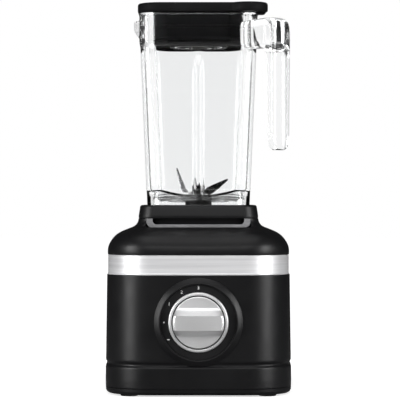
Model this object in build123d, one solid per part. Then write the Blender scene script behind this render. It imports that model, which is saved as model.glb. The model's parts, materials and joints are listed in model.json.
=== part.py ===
from build123d import *
import os

# Countertop blender, millimetres. +Z up, front of the base faces -Y.
# Origin: on the motor axis, in the plane that the rubber feet stand on.

# ---- driving dimensions ----------------------------------------------------
HEIGHT = 400.0            # feet to lid top

PLINTH_HALF = 95.8        # widest half-width, at the foot of the housing
BODY_HALF_LOW = 95.6      # body half-width just above the crease
BODY_HALF_TOP = 94.3      # body half-width just below the trim band
BODY_CORNER = 48.0        # plan corner radius of the body
BODY_WALL = 3.0
Z_PLATE = 2.0             # underside of the base plate
Z_HOUSING = 8.0           # underside of the housing
Z_CREASE = 31.0
CREASE_HEIGHT = 3.5
Z_BAND = 122.5            # trim band, bottom and top
Z_BAND_TOP = 142.8
BAND_HALF = 93.6
BAND_WALL = 1.4

NECK_HALF = 61.3          # square neck that the jar stands on
NECK_CORNER = 17.0
Z_DECK = 170.5            # floor inside the neck
Z_NECK = 179.4            # top edge of the neck
SLOT_HALF = 46.7          # drain slot in the front of the neck
SLOT_LINING = 6.3         # width of the grey lining beside the slot
PAD_THICK = 2.9

DIAL_Z = 75.5             # height of the dial centre
DIAL_FACE_Y = -93.5       # plane that the dial parts are seated on
BEZEL_R = 44.6
DIAL_PLATE_R = 38.0
RING_OUTER_R = 30.3
RING_INNER_R = 27.0
KNOB_R = 26.0
KNOB_FRONT_Y = -114.0
GRIP_HEIGHT = 15.0

Z_COLLAR = 179.5          # jar collar, bottom and top
Z_COLLAR_TOP = 193.4
COLLAR_HALF_TOP = 59.3
Z_JAR = 190.0             # foot of the jar wall
JAR_HALF_FOOT = 52.5
Z_JAR_STEP = 354.5        # the taper ends here
JAR_HALF_STEP = 59.5
Z_JAR_STRAIGHT = 360.0
JAR_HALF_RIM = 60.5
Z_JAR_RIM = 389.5
JAR_CORNER = 20.0
JAR_WALL = 3.5
JAR_CHAMFER = 13.0        # thick inner corners of the jar
JAR_FLOOR = 196.0
JAR_FLOOR_THICK = 5.0

HANDLE_WIDTH = 26.7       # grip across the fingers
HANDLE_INNER = 108.0      # radial place of the grip along the corner diagonal
HANDLE_OUTER = 120.0
Z_HANDLE = 248.5
Z_HANDLE_TOP = 383.0
BRACKET_WIDTH = 32.0
Z_BRACKET = 352.0
Z_BRACKET_TOP = 385.0

LID_HALF = 63.0
LID_CORNER = 28.0
Z_LID = 390.0
PLUG_HALF = 55.0
Z_PLUG = 357.0
LID_BORE = 27.0           # hole for the centre cap
CAP_R = 25.5
CAP_FLANGE_R = 31.0

SHAFT_R = 4.0
RUNNING_GAP = 0.05        # radial clearance of a shaft in its bearing
BODY_GAP = 0.3            # clearance between faces of different bodies

CORNERS = [(sx, sy) for sx in (-1, 1) for sy in (-1, 1)]
DIAGONAL = -45.0          # plan direction of the handle


# ---- shared shapes ----------------------------------------------------------
def rounded_block(half, corner, z0, z1):
    """Upright block whose plan is a rounded square."""
    return extrude(Plane.XY.offset(z0) * RectangleRounded(2 * half, 2 * half, corner), z1 - z0)


def rounded_stack(stations):
    """Ruled loft through rounded squares given as (z, half width, corner radius)."""
    plans = [Plane.XY.offset(z) * RectangleRounded(2 * h, 2 * h, r) for z, h, r in stations]
    return loft(plans, ruled=True)


def chamfered_plan(half, chamfer, z):
    """Square plan with its four corners cut at 45 degrees."""
    c = half - chamfer
    points = [(half, -c), (half, c), (c, half), (-c, half), (-half, c), (-half, -c), (-c, -half), (c, -half)]
    return Plane.XY.offset(z) * make_face(Polyline(*points, close=True))


def chamfered_stack(stations):
    """Ruled loft through chamfered squares given as (z, half width, chamfer)."""
    return loft([chamfered_plan(h, c, z) for z, h, c in stations], ruled=True)


def tube(outer, inner, z0, z1):
    """Upright tube on the axis."""
    ring = Circle(outer) - Circle(inner)
    return extrude(Plane.XY.offset(z0) * ring, z1 - z0)


def rod(radius, z0, z1, x=0.0, y=0.0):
    """Upright round bar."""
    return extrude(Plane.XY.offset(z0) * Pos(x, y) * Circle(radius), z1 - z0)


def front_disc(radius, y_front, y_back, inner=0.0):
    """Disc or ring facing the front, centred on the dial."""
    face = Circle(radius) - Circle(inner) if inner else Circle(radius)
    plane = Plane(origin=(0, y_back, DIAL_Z), x_dir=(1, 0, 0), z_dir=(0, -1, 0))
    return extrude(plane * face, y_back - y_front)


def block(x0, x1, y0, y1, z0, z1):
    """Plain box given by its limits."""
    return Pos((x0 + x1) / 2, (y0 + y1) / 2, (z0 + z1) / 2) * Box(x1 - x0, y1 - y0, z1 - z0)


def fused(shapes):
    """One solid from a list of touching or overlapping shapes."""
    whole = shapes[0]
    for shape in shapes[1:]:
        whole = whole + shape
    return whole


# ---- base: shells -----------------------------------------------------------
FOOT_AT = 70.0
BOSS_X = 45.0
BOSS_Y = 80.0
BOSS_R = 5.0
BOSS_TOP = 30.0
SCREW_R = 1.9
BOSS_PLACES = [(sx * BOSS_X, sy * BOSS_Y) for sx, sy in CORNERS]
GLAND_Z = 20.0
GLAND_R = 6.5


def base_housing():
    outer = rounded_stack([
        (Z_HOUSING, PLINTH_HALF - 0.6, BODY_CORNER),
        (Z_HOUSING + 1.2, PLINTH_HALF, BODY_CORNER),
        (Z_CREASE - 1.5, PLINTH_HALF, BODY_CORNER),
        (Z_CREASE, PLINTH_HALF - 1.3, BODY_CORNER),
        (Z_CREASE + CREASE_HEIGHT - 1.0, PLINTH_HALF - 1.3, BODY_CORNER),
        (Z_CREASE + CREASE_HEIGHT, BODY_HALF_LOW, BODY_CORNER),
        (Z_BAND, BODY_HALF_TOP, BODY_CORNER),
    ])
    inner = rounded_stack([
        (Z_HOUSING - 1.0, BODY_HALF_LOW - BODY_WALL - 0.5, BODY_CORNER - BODY_WALL),
        (Z_BAND + 1.0, BODY_HALF_TOP - BODY_WALL, BODY_CORNER - BODY_WALL),
    ])
    shell = outer - inner
    for x, y in BOSS_PLACES:
        wall_y = 93.0 if y > 0 else -93.0
        rib = block(x - 1.5, x + 1.5, min(y, wall_y), max(y, wall_y), Z_HOUSING, BOSS_TOP)
        shell = shell + rod(BOSS_R, Z_HOUSING, BOSS_TOP, x, y) + rib
        shell = shell - rod(SCREW_R, Z_HOUSING - 1, BOSS_TOP - 4, x, y)
    shell = shell - front_disc(BEZEL_R, -100.0, DIAL_FACE_Y)
    shell = shell - front_disc(6.0, -100.0, -88.0)
    gland = Plane(origin=(0, 85, GLAND_Z), x_dir=(1, 0, 0), z_dir=(0, 1, 0)) * Circle(GLAND_R)
    return shell - extrude(gland, 20)


def base_plate():
    plate = rounded_stack([
        (Z_PLATE, 91.6, 44.0),
        (Z_PLATE + 1.0, 93.4, 46.0),
        (Z_PLATE + 3.0, 94.6, 47.0),
        (Z_HOUSING, 94.8, 47.2),
    ])
    plate = plate - rounded_block(91.6, 44.0, Z_PLATE + 2.5, Z_HOUSING + 1)
    for x, y in BOSS_PLACES:
        plate = plate + rod(7.0, Z_PLATE, Z_HOUSING, x, y)
        plate = plate - rod(SCREW_R, 0, Z_HOUSING + 1, x, y) - rod(3.6, 0, 4.5, x, y)
    for sx, sy in CORNERS:
        plate = plate - rod(4.0, 0, Z_HOUSING, sx * FOOT_AT, sy * FOOT_AT)
    for step in range(-4, 5):
        reach = 76.0 - 5.0 * abs(step)
        slot = Plane.XY * Pos(step * 9.0, 0) * Rot(0, 0, 90) * SlotOverall(reach, 3.5)
        plate = plate - extrude(slot, 6)
    return plate


def rubber_feet():
    feet = []
    for sx, sy in CORNERS:
        x, y = sx * FOOT_AT, sy * FOOT_AT
        pad = fillet(rod(9.0, 0, Z_PLATE, x, y).edges().group_by(Axis.Z)[0], 0.8)
        feet.append(pad + rod(4.0, Z_PLATE, Z_PLATE + 2.5, x, y))
    return feet


def base_screws():
    screws = []
    for x, y in BOSS_PLACES:
        head = rod(3.6, Z_PLATE + 0.3, 4.5, x, y)
        slot = block(x - 2.4, x + 2.4, y - 0.5, y + 0.5, Z_PLATE, Z_PLATE + 1.2)
        screws.append(head + rod(SCREW_R, 4.5, 22.0, x, y) - slot)
    return screws


SHOULDER = [
    (Z_BAND_TOP, 93.6, 47.5),
    (147.4, 93.5, 47.0),
    (150.5, 93.1, 46.0),
    (153.6, 91.8, 44.5),
    (156.7, 90.0, 42.5),
    (159.9, 87.5, 40.0),
    (163.0, 84.4, 37.0),
    (166.1, 79.2, 32.0),
    (169.2, 71.5, 25.0),
    (172.3, 64.7, 19.5),
    (175.4, 62.4, 18.0),
    (Z_NECK, NECK_HALF, NECK_CORNER),
]
COVER_WALL = 3.0
SKIRT_HALF = BAND_HALF - BAND_WALL
POST_AT = 32.0
POST_R = 5.0
Z_BUSH = 122.0
BUSH_THICK = 4.0
BOLT_R = 2.0
WELL_R = 23.0


def slot_outline(extra):
    """The U shape of the drain slot, widened by extra, with rounded lower corners."""
    half = SLOT_HALF + extra
    bottom = Z_DECK + PAD_THICK - (PAD_THICK if extra else 0.0)
    corner = 6.0 if extra else 4.0
    height = 40.0
    plane = Plane(origin=(0, -50, bottom + height / 2), x_dir=(1, 0, 0), z_dir=(0, -1, 0))
    return extrude(plane * RectangleRounded(2 * half, height, corner), 30)


def shoulder_cover():
    outer = rounded_stack(SHOULDER) + rounded_block(SKIRT_HALF, 46.5, Z_BAND, Z_BAND_TOP)
    spigot_half = BODY_HALF_TOP - BODY_WALL - 0.1
    outer = outer + rounded_block(spigot_half, 44.8, Z_BAND - 6, Z_BAND)
    inner = rounded_block(spigot_half - 2.5, 42.0, Z_BAND - 7, Z_BAND_TOP)
    inner = inner + rounded_stack([(z, h - COVER_WALL, r - 2.5) for z, h, r in SHOULDER[:8]])
    cover = outer - inner
    cover = cover - rounded_block(NECK_HALF - 3.2, NECK_CORNER - 3.0, Z_DECK, Z_NECK + 1)
    cover = cover - rod(WELL_R, 100, 200)
    for sx, sy in CORNERS:
        x, y = sx * POST_AT, sy * POST_AT
        cover = cover + rod(POST_R, Z_BUSH + BUSH_THICK, 167.0, x, y)
        cover = cover - rod(BOLT_R, 100, 142, x, y)
    return cover - slot_outline(SLOT_LINING)


def jar_seat_pad():
    shape = rounded_stack(SHOULDER)
    lining = (shape & slot_outline(SLOT_LINING)) - slot_outline(0.0)
    pad = rounded_block(NECK_HALF - 3.2, NECK_CORNER - 3.0, Z_DECK, Z_DECK + PAD_THICK)
    pad = pad - rod(WELL_R + 3, 160, 190)
    inside = rounded_block(NECK_HALF - 5.8, NECK_CORNER - 4.0, Z_DECK + PAD_THICK, Z_NECK + 1)
    return (pad + lining) - inside


def trim_band():
    band = rounded_block(BAND_HALF, 47.5, Z_BAND, Z_BAND_TOP)
    return band - rounded_block(SKIRT_HALF, 46.5, Z_BAND - 1, Z_BAND_TOP + 1)


def cord_inlet():
    plane = Plane(origin=(0, 91.0, GLAND_Z), x_dir=(1, 0, 0), z_dir=(0, 1, 0))
    flange = Plane(origin=(0, PLINTH_HALF, GLAND_Z), x_dir=(1, 0, 0), z_dir=(0, 1, 0))
    body = extrude(plane * Circle(GLAND_R), PLINTH_HALF - 91.0) + extrude(flange * Circle(9.0), 1.6)
    return body - extrude(plane * Circle(3.6), 20)


# ---- base: dial ---------------------------------------------------------------
PLATE_THICK = 2.0
BEZEL_DEPTH = 5.0
SPINDLE_R = 3.0
SWITCH_FACE_Y = -91.3     # just behind the housing wall


def dial_plate():
    face_y = DIAL_FACE_Y - PLATE_THICK
    return front_disc(DIAL_PLATE_R, face_y, DIAL_FACE_Y, inner=6.0)


def dial_bezel():
    ring = front_disc(BEZEL_R, DIAL_FACE_Y - BEZEL_DEPTH, DIAL_FACE_Y, inner=DIAL_PLATE_R)
    return fillet(ring.edges().group_by(Axis.Y)[0], 2.4)


def dial_trim_ring():
    face_y = DIAL_FACE_Y - PLATE_THICK
    ring = front_disc(RING_OUTER_R, face_y - 2.5, face_y, inner=RING_INNER_R)
    return fillet(ring.edges().group_by(Axis.Y)[0], 0.9)


def rotary_switch():
    body = block(-17, 17, SWITCH_FACE_Y, -76, DIAL_Z - 17, DIAL_Z + 17)
    bush = front_disc(6.0, DIAL_FACE_Y - PLATE_THICK, SWITCH_FACE_Y)
    return body + bush - front_disc(SPINDLE_R + RUNNING_GAP, -100.0, -79.8)


def control_board():
    return block(-32, 32, -76, -74.4, DIAL_Z - 26, DIAL_Z + 26)


def board_parts():
    """Capacitor, triac with its tab, and two terminals on the back of the board."""
    return [
        block(-24, -8, -74.4, -62, DIAL_Z + 2, DIAL_Z + 20),
        block(2, 12, -74.4, -70, DIAL_Z - 4, DIAL_Z + 12),
        block(16, 22, -74.4, -66, DIAL_Z - 20, DIAL_Z - 8),
        block(-22, -16, -74.4, -66, DIAL_Z - 20, DIAL_Z - 8),
    ]


def switch_spindle():
    return front_disc(SPINDLE_R, -108.0, -80.0)


def dial_knob():
    back = DIAL_FACE_Y - PLATE_THICK - 0.5
    disc = fillet(front_disc(KNOB_R, -101.0, back).edges().group_by(Axis.Y)[0], 1.5)
    barrel = front_disc(KNOB_R - 0.4, KNOB_FRONT_Y, -100.0)
    bar = barrel & block(-30, 30, -120, -90, DIAL_Z - GRIP_HEIGHT / 2, DIAL_Z + GRIP_HEIGHT / 2)
    bar = fillet(bar.edges().group_by(Axis.Y)[0], 1.6)
    return disc + bar - front_disc(SPINDLE_R, -108.0, -90.0)


# ---- base: motor ----------------------------------------------------------------
Z_STATOR, Z_STATOR_TOP = 62.0, 104.0
STATOR_R, STATOR_BORE = 42.0, 24.0
COIL_Y, COIL_Y_OUT = 17.0, 25.0
COIL_X, COIL_X_OUT = 25.0, 30.0
THROUGH_BOLT_Y = 36.0
BEARING_R = 9.0


def stator_core():
    core = tube(STATOR_R, STATOR_BORE, Z_STATOR, Z_STATOR_TOP)
    for sx, sy in CORNERS:
        xs = sorted((sx * COIL_X, sx * COIL_X_OUT))
        ys = sorted((sy * COIL_Y, sy * COIL_Y_OUT))
        core = core - block(*xs, *ys, Z_STATOR - 1, Z_STATOR_TOP + 1)
    for side in (-1, 1):
        core = core - rod(BOLT_R, Z_STATOR - 1, Z_STATOR_TOP + 1, 0, side * THROUGH_BOLT_Y)
    return core


def field_coils():
    coils = []
    for side in (-1, 1):
        ys = sorted((side * COIL_Y, side * COIL_Y_OUT))
        loop = block(-COIL_X_OUT, COIL_X_OUT, *ys, Z_STATOR - 9, Z_STATOR_TOP + 9)
        coils.append(loop - block(-COIL_X, COIL_X, *ys, Z_STATOR, Z_STATOR_TOP))
    return coils


def motor_bracket(z_plate, plate_r, z_leg, z_leg_end):
    """Round end plate with a bearing hub and four legs that meet the stator."""
    plate = rod(plate_r, z_plate, z_plate + 4.0)
    hub = rod(12.0, z_plate - 4.0, z_plate + 6.0)
    legs = [Rot(0, 0, 45 + 90 * k) * block(39.2, 41.5, -6, 6, z_leg, z_leg_end) for k in range(4)]
    bracket = fused([plate, hub] + legs)
    bracket = bracket - rod(BEARING_R, z_plate - 2.0, z_plate + 6.0) - rod(6.5, z_plate - 5.0, z_plate)
    for side in (-1, 1):
        bracket = bracket - rod(BOLT_R, z_plate - 1, z_plate + 5, 0, side * THROUGH_BOLT_Y)
        for lobe in (-1, 1):
            bracket = bracket - rod(6.0, z_plate - 1, z_plate + 5, lobe * 22, side * 13)
    return bracket


def lower_motor_bracket():
    bracket = motor_bracket(30.0, 44.0, 34.0, Z_STATOR)
    for side in (-1, 1):
        xs = sorted((side * 30.0, side * 36.0))
        bracket = bracket + block(*xs, -5, 5, 34.0, 44.0)
    return bracket


def upper_motor_bracket():
    bracket = motor_bracket(118.0, 53.0, Z_STATOR_TOP, 118.0)
    for sx, sy in CORNERS:
        bracket = bracket - rod(BOLT_R, 110, 130, sx * POST_AT, sy * POST_AT)
    return bracket


def bearing(z0, z1):
    return tube(BEARING_R, SHAFT_R + RUNNING_GAP, z0, z1)


def motor_bushes():
    places = [(sx * POST_AT, sy * POST_AT) for sx, sy in CORNERS]
    return [rod(7.0, Z_BUSH, Z_BUSH + BUSH_THICK, x, y) - rod(BOLT_R, 100, 140, x, y) for x, y in places]


def motor_bolts():
    places = [(sx * POST_AT, sy * POST_AT) for sx, sy in CORNERS]
    return [rod(3.6, 115.0, 118.0, x, y) + rod(BOLT_R, 118.0, 140.0, x, y) for x, y in places]


def through_bolts():
    bolts = []
    for side in (-1, 1):
        y = side * THROUGH_BOLT_Y
        bolts.append(rod(BOLT_R, 30.0, 122.0, 0, y) + rod(3.8, 27.0, 30.0, 0, y) + rod(3.8, 122.0, 125.0, 0, y))
    return bolts


def brush_holders():
    holders = []
    for side in (-1, 1):
        xs = sorted((side * 16.0, side * 36.0))
        holders.append(block(*xs, -6, 6, 44.0, 56.0) - block(*xs, -3.5, 3.5, 45.5, 54.5))
    return holders


def carbon_brushes():
    brushes = []
    for side in (-1, 1):
        xs = sorted((side * (COMMUTATOR_R + BODY_GAP), side * 26.0))
        brushes.append(block(*xs, -3.5, 3.5, 45.5, 54.5))
    return brushes


# ---- rotor -------------------------------------------------------------------------
COMMUTATOR_R = 12.0
ARMATURE_R = 23.4
Z_COUPLER, Z_COUPLER_TOP = 158.0, 176.0
Z_SOCKET = 166.0
SOCKET_SIDE = 13.0
FAN_R = 45.0


def motor_shaft():
    return rod(SHAFT_R, 11.0, 165.0)


def armature_core():
    core = tube(ARMATURE_R, SHAFT_R, Z_STATOR, Z_STATOR_TOP)
    for k in range(12):
        slot = block(16.5, 30, -1.2, 1.2, Z_STATOR - 1, Z_STATOR_TOP + 1)
        core = core - Rot(0, 0, 30 * k) * slot
    return core


def armature_windings():
    return [tube(15.8, SHAFT_R, Z_STATOR_TOP, 111.0), tube(15.8, SHAFT_R, 57.0, Z_STATOR)]


def commutator():
    body = tube(COMMUTATOR_R, SHAFT_R, 43.0, 57.0)
    for k in range(12):
        groove = block(COMMUTATOR_R - 1, COMMUTATOR_R + 2, -0.4, 0.4, 42, 55)
        body = body - Rot(0, 0, 30 * k + 15) * groove
    return body


def cooling_fan():
    fan = tube(9.0, SHAFT_R, 12.0, 23.5) + tube(FAN_R, 8.0, 21.5, 23.5)
    for k in range(10):
        blade = Rot(0, 0, 36 * k) * block(8.0, FAN_R - 1, -0.9, 0.9, 12.0, 22.0)
        fan = fan + blade
    return fan


def drive_coupler():
    body = rod(16.0, Z_COUPLER, Z_COUPLER_TOP)
    body = fillet(body.edges().group_by(Axis.Z)[-1], 1.5)
    half = SOCKET_SIDE / 2
    body = body - block(-half, half, -half, half, Z_SOCKET, Z_COUPLER_TOP + 1)
    return body - rod(SHAFT_R, Z_COUPLER - 1, 165.0)


# ---- jar -------------------------------------------------------------------------
def jar_half(z):
    """Outer half-width of the tapered jar wall at height z."""
    rise = (JAR_HALF_STEP - JAR_HALF_FOOT) / (Z_JAR_STEP - Z_JAR)
    return JAR_HALF_FOOT + rise * (z - Z_JAR)


def along_diagonal(shape):
    """Turns a shape drawn along +X so that it points along the handle's diagonal."""
    return Rot(0, 0, DIAGONAL) * shape


def handle():
    grip = block(HANDLE_INNER, HANDLE_OUTER, -HANDLE_WIDTH / 2, HANDLE_WIDTH / 2, Z_HANDLE, Z_HANDLE_TOP)
    grip = fillet(grip.edges().filter_by(Axis.X), 8.0)
    grip = fillet(grip.edges().group_by(Axis.X)[-1], 3.0)
    half = BRACKET_WIDTH / 2
    bracket = block(66.0, HANDLE_INNER + 1, -half, half, Z_BRACKET, Z_BRACKET_TOP - 4)
    bracket = fillet(bracket.edges().filter_by(Axis.X), 6.0)
    return along_diagonal(grip + bracket)


def vessel_outside():
    """Outer form of the jar: a taper, a small step and a straight rim band."""
    return rounded_stack([
        (Z_JAR, JAR_HALF_FOOT, JAR_CORNER - 2),
        (Z_JAR_STEP, JAR_HALF_STEP, JAR_CORNER),
        (Z_JAR_STRAIGHT, JAR_HALF_RIM, JAR_CORNER),
        (Z_JAR_RIM, JAR_HALF_RIM, JAR_CORNER),
    ])


def leaning_bar(at_foot, at_top, r_foot, r_top, z_foot, z_top):
    """Round bar at the rear left corner that leans outwards, then stands up to the rim."""
    foot = Plane.XY.offset(z_foot) * Pos(-at_foot, at_foot) * Circle(r_foot)
    top = Plane.XY.offset(SPOUT_Z) * Pos(-at_top, at_top) * Circle(r_top)
    upright = extrude(Plane.XY.offset(SPOUT_Z) * Pos(-at_top, at_top) * Circle(r_top), z_top - SPOUT_Z)
    return loft([foot, top]) + upright


SPOUT_Z = 380.0


def spout_channel():
    return leaning_bar(42.0, 56.0, 9.0, 10.5, 366.0, Z_JAR_RIM + 2)


def jar():
    floor_top = JAR_FLOOR + JAR_FLOOR_THICK
    cavity = chamfered_stack([
        (floor_top, 30.0, 9.0),
        (floor_top + 12, jar_half(floor_top + 12) - JAR_WALL, JAR_CHAMFER - 1),
        (Z_JAR_STEP, JAR_HALF_STEP - JAR_WALL, JAR_CHAMFER),
        (Z_JAR_STRAIGHT, JAR_HALF_RIM - JAR_WALL, JAR_CHAMFER),
        (Z_JAR_RIM + 1, JAR_HALF_RIM - JAR_WALL, JAR_CHAMFER),
    ])
    body = vessel_outside() - cavity - spout_channel()
    body = body - rod(14.3, 180, 210)
    return body - rounded_block(JAR_HALF_FOOT - 4, 14.0, Z_JAR - 1, JAR_FLOOR)


def jar_handle():
    return handle() - vessel_outside()


def pour_spout():
    lip = leaning_bar(46.0, 57.0, 12.0, 13.0, 364.0, Z_JAR_RIM)
    return lip - vessel_outside() - spout_channel()


def jar_collar():
    outer = rounded_stack([
        (Z_COLLAR, NECK_HALF - 0.4, NECK_CORNER),
        (Z_COLLAR + 1.0, NECK_HALF, NECK_CORNER),
        (Z_COLLAR_TOP - 1.2, COLLAR_HALF_TOP + 0.2, NECK_CORNER + 1),
        (Z_COLLAR_TOP, COLLAR_HALF_TOP - 0.9, NECK_CORNER),
    ])
    spigot = rounded_block(53.0, 12.0, Z_DECK + PAD_THICK + BODY_GAP, Z_COLLAR)
    seat = rounded_stack([
        (Z_JAR, JAR_HALF_FOOT, JAR_CORNER - 2),
        (Z_COLLAR_TOP + 1, jar_half(Z_COLLAR_TOP + 1), JAR_CORNER - 2),
    ])
    hollow = rounded_block(49.0, 9.0, Z_DECK, 186.0)
    return outer + spigot - seat - hollow - rod(14.3, 180, 195)


def blade_housing():
    """Bearing carrier of the blades: a flange under the jar floor and a hub through it."""
    hub = rod(14.0, 184.0, 203.0)
    hub = fillet(hub.edges().group_by(Axis.Z)[-1], 3.0)
    return hub + rod(30.0, Z_JAR, JAR_FLOOR - 1.5) - rod(7.0, 180, 210)


def jar_gasket():
    return tube(30.0, 15.0, JAR_FLOOR - 1.5, JAR_FLOOR)


def blade_bushes():
    return [tube(7.0, SHAFT_R + RUNNING_GAP, z, z + 6.0) for z in (184.5, 194.5)]


def shaft_seal():
    return tube(7.0, SHAFT_R + RUNNING_GAP, 200.5, 203.0)


# ---- blades -----------------------------------------------------------------------
BLADE_THICK = 1.6
Z_BLADES = 204.0
BLADE_BORE = 3.0
LOWER_BLADE_ROOT, UPPER_BLADE_ROOT, BLADE_TIP = 8.0, 11.0, 2.0


def wing(start, reach, root, tip, lift, turn, z):
    """Flat tapered blade that is bent up by lift degrees, start millimetres from the axis."""
    plan = Polyline((0, -root / 2), (reach, -tip / 2), (reach + tip, tip / 2), (0, root / 2), close=True)
    blade = extrude(make_face(plan), BLADE_THICK)
    blade = Pos(start, 0, z) * Rot(0, -lift, 0) * blade
    flat = block(0, start + 0.3, -root / 2, root / 2, z, z + BLADE_THICK)
    return Rot(0, 0, turn) * (blade + flat)


def blade_pair(z, root, wings):
    """Two wings on one round hub with the hole for the shaft."""
    pair = rod(8.5, z, z + BLADE_THICK)
    for start, reach, lift, turn in wings:
        pair = pair + wing(start, reach, root, BLADE_TIP, lift, turn, z)
    return pair - rod(BLADE_BORE, z - 5, z + 30)


def lower_blade():
    return blade_pair(Z_BLADES, LOWER_BLADE_ROOT, [(9.3, 18.0, 0.0, 112.0), (9.3, 23.0, 45.0, -84.0)])


def upper_blade():
    wings = [(16.0, 27.0, 70.0, 154.0), (9.3, 28.0, 29.0, -26.0)]
    return blade_pair(Z_BLADES + BLADE_THICK, UPPER_BLADE_ROOT, wings)


def blade_shaft():
    return rod(SHAFT_R, 171.0, Z_BLADES) + rod(BLADE_BORE, Z_BLADES, 214.5)


def blade_nut():
    z0 = Z_BLADES + 2 * BLADE_THICK
    nut = extrude(Plane.XY.offset(z0) * RegularPolygon(5.8, 6), 6.0)
    return nut - rod(BLADE_BORE, z0 - 1, z0 + 8)


def jar_coupler():
    half = SOCKET_SIDE / 2 - 0.5
    body = block(-half, half, -half, half, Z_SOCKET + 1, 178.5) + rod(12.5, 178.5, 182.5)
    return body - rod(SHAFT_R, 171.0, 190)


# ---- lid --------------------------------------------------------------------------
def lid():
    plate = rounded_block(LID_HALF, LID_CORNER, Z_LID + 0.5, HEIGHT)
    tab_plan = Circle(20.0) + Pos(-20, 0) * Rectangle(40, 40)
    tab = along_diagonal(extrude(Plane.XY.offset(Z_LID + 0.5) * Pos(73, 0) * tab_plan, HEIGHT - Z_LID - 0.5))
    plate = fillet((plate + tab).edges().group_by(Axis.Z)[-1], 2.0)
    plate = plate - rod(LID_BORE, Z_PLUG - 1, HEIGHT + 1)
    return plate - rod(CAP_FLANGE_R + BODY_GAP, HEIGHT - 2.8, HEIGHT + 1)


def plug_outside():
    """Slightly tapered outside of the plug."""
    return chamfered_stack([
        (Z_PLUG, PLUG_HALF - 0.8, JAR_CHAMFER),
        (Z_LID + 0.5, PLUG_HALF, JAR_CHAMFER),
    ])


def lid_plug():
    return plug_outside() - chamfered_stack([
        (Z_PLUG - 1, PLUG_HALF - 4, JAR_CHAMFER - 1),
        (Z_LID + 2, PLUG_HALF - 4, JAR_CHAMFER - 1),
    ])


def lid_well():
    return tube(LID_BORE + 3, LID_BORE, Z_PLUG, Z_LID + 0.5)


def seal_ring(z0, z1):
    """Sealing rib that goes round the plug and wipes the inside of the jar."""
    half = JAR_HALF_RIM - JAR_WALL - BODY_GAP
    return chamfered_stack([(z0, half, JAR_CHAMFER), (z1, half, JAR_CHAMFER)]) - plug_outside()


def lid_seals():
    return [seal_ring(374.0, 377.7), seal_ring(361.6, 365.0)]


def centre_cap():
    top = fillet(rod(CAP_FLANGE_R, HEIGHT - 2.5, HEIGHT).edges().group_by(Axis.Z)[-1], 1.0)
    cup = tube(CAP_R, CAP_R - 2.2, Z_PLUG, HEIGHT - 2.4)
    return top + cup


# ---- nodes ------------------------------------------------------------------------
NODES = {
    "base_housing": base_housing,
    "base_plate": base_plate,
    "rubber_feet": rubber_feet,
    "base_screws": base_screws,
    "trim_band": trim_band,
    "shoulder_cover": shoulder_cover,
    "jar_seat_pad": jar_seat_pad,
    "cord_inlet": cord_inlet,
    "dial_bezel": dial_bezel,
    "dial_plate": dial_plate,
    "dial_trim_ring": dial_trim_ring,
    "rotary_switch": rotary_switch,
    "control_board": control_board,
    "board_parts": board_parts,
    "upper_motor_bracket": upper_motor_bracket,
    "lower_motor_bracket": lower_motor_bracket,
    "stator_core": stator_core,
    "field_coils": field_coils,
    "brush_holders": brush_holders,
    "carbon_brushes": carbon_brushes,
    "upper_bearing": lambda: bearing(116.0, 124.0),
    "lower_bearing": lambda: bearing(28.0, 36.0),
    "motor_bushes": motor_bushes,
    "motor_bolts": motor_bolts,
    "through_bolts": through_bolts,
    "motor_shaft": motor_shaft,
    "armature_core": armature_core,
    "armature_windings": armature_windings,
    "commutator": commutator,
    "cooling_fan": cooling_fan,
    "drive_coupler": drive_coupler,
    "dial_knob": dial_knob,
    "switch_spindle": switch_spindle,
    "jar": jar,
    "jar_handle": jar_handle,
    "pour_spout": pour_spout,
    "jar_collar": jar_collar,
    "blade_housing": blade_housing,
    "jar_gasket": jar_gasket,
    "blade_bushes": blade_bushes,
    "shaft_seal": shaft_seal,
    "lower_blade": lower_blade,
    "upper_blade": upper_blade,
    "blade_shaft": blade_shaft,
    "blade_nut": blade_nut,
    "jar_coupler": jar_coupler,
    "lid": lid,
    "lid_plug": lid_plug,
    "lid_well": lid_well,
    "lid_seals": lid_seals,
    "centre_cap": centre_cap,
}

os.makedirs("parts", exist_ok=True)
for name, make in NODES.items():
    made = make()
    solids = made if isinstance(made, list) else [made]
    flat = [solid for shape in solids for solid in shape.solids()]
    whole = flat[0] if len(flat) == 1 else Compound(children=flat)
    whole.label = name
    export_step(whole, f"parts/{name}.step")
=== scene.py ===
import json
from math import pi, radians

import bpy
import numpy as np
from bpy.props import FloatProperty, FloatVectorProperty, PointerProperty
from mathutils import Matrix, Vector


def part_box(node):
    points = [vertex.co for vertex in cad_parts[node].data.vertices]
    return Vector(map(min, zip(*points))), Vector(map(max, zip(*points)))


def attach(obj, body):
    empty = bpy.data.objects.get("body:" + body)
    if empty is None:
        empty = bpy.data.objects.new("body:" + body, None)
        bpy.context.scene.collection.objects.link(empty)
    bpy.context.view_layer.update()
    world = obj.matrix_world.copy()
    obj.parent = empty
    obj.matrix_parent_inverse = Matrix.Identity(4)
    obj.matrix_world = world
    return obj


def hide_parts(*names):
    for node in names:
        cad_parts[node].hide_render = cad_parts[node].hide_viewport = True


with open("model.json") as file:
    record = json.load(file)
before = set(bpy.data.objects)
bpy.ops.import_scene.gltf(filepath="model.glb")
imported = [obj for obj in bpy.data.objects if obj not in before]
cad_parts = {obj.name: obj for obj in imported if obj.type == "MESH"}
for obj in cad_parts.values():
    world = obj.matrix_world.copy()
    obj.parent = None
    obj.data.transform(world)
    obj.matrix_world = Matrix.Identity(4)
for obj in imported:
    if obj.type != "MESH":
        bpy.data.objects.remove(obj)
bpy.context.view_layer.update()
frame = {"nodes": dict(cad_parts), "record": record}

bl_info = {
    "name": "Countertop Blender Looks",
    "version": (1, 0, 0),
    "blender": (4, 5, 0),
    "location": "View3D > Sidebar > Blender",
    "description": "Skins, clear parts and finishes of a countertop blender",
    "category": "Object",
}

MM = 0.001
COLUMNS = 480                      # points round a moulded plan


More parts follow.
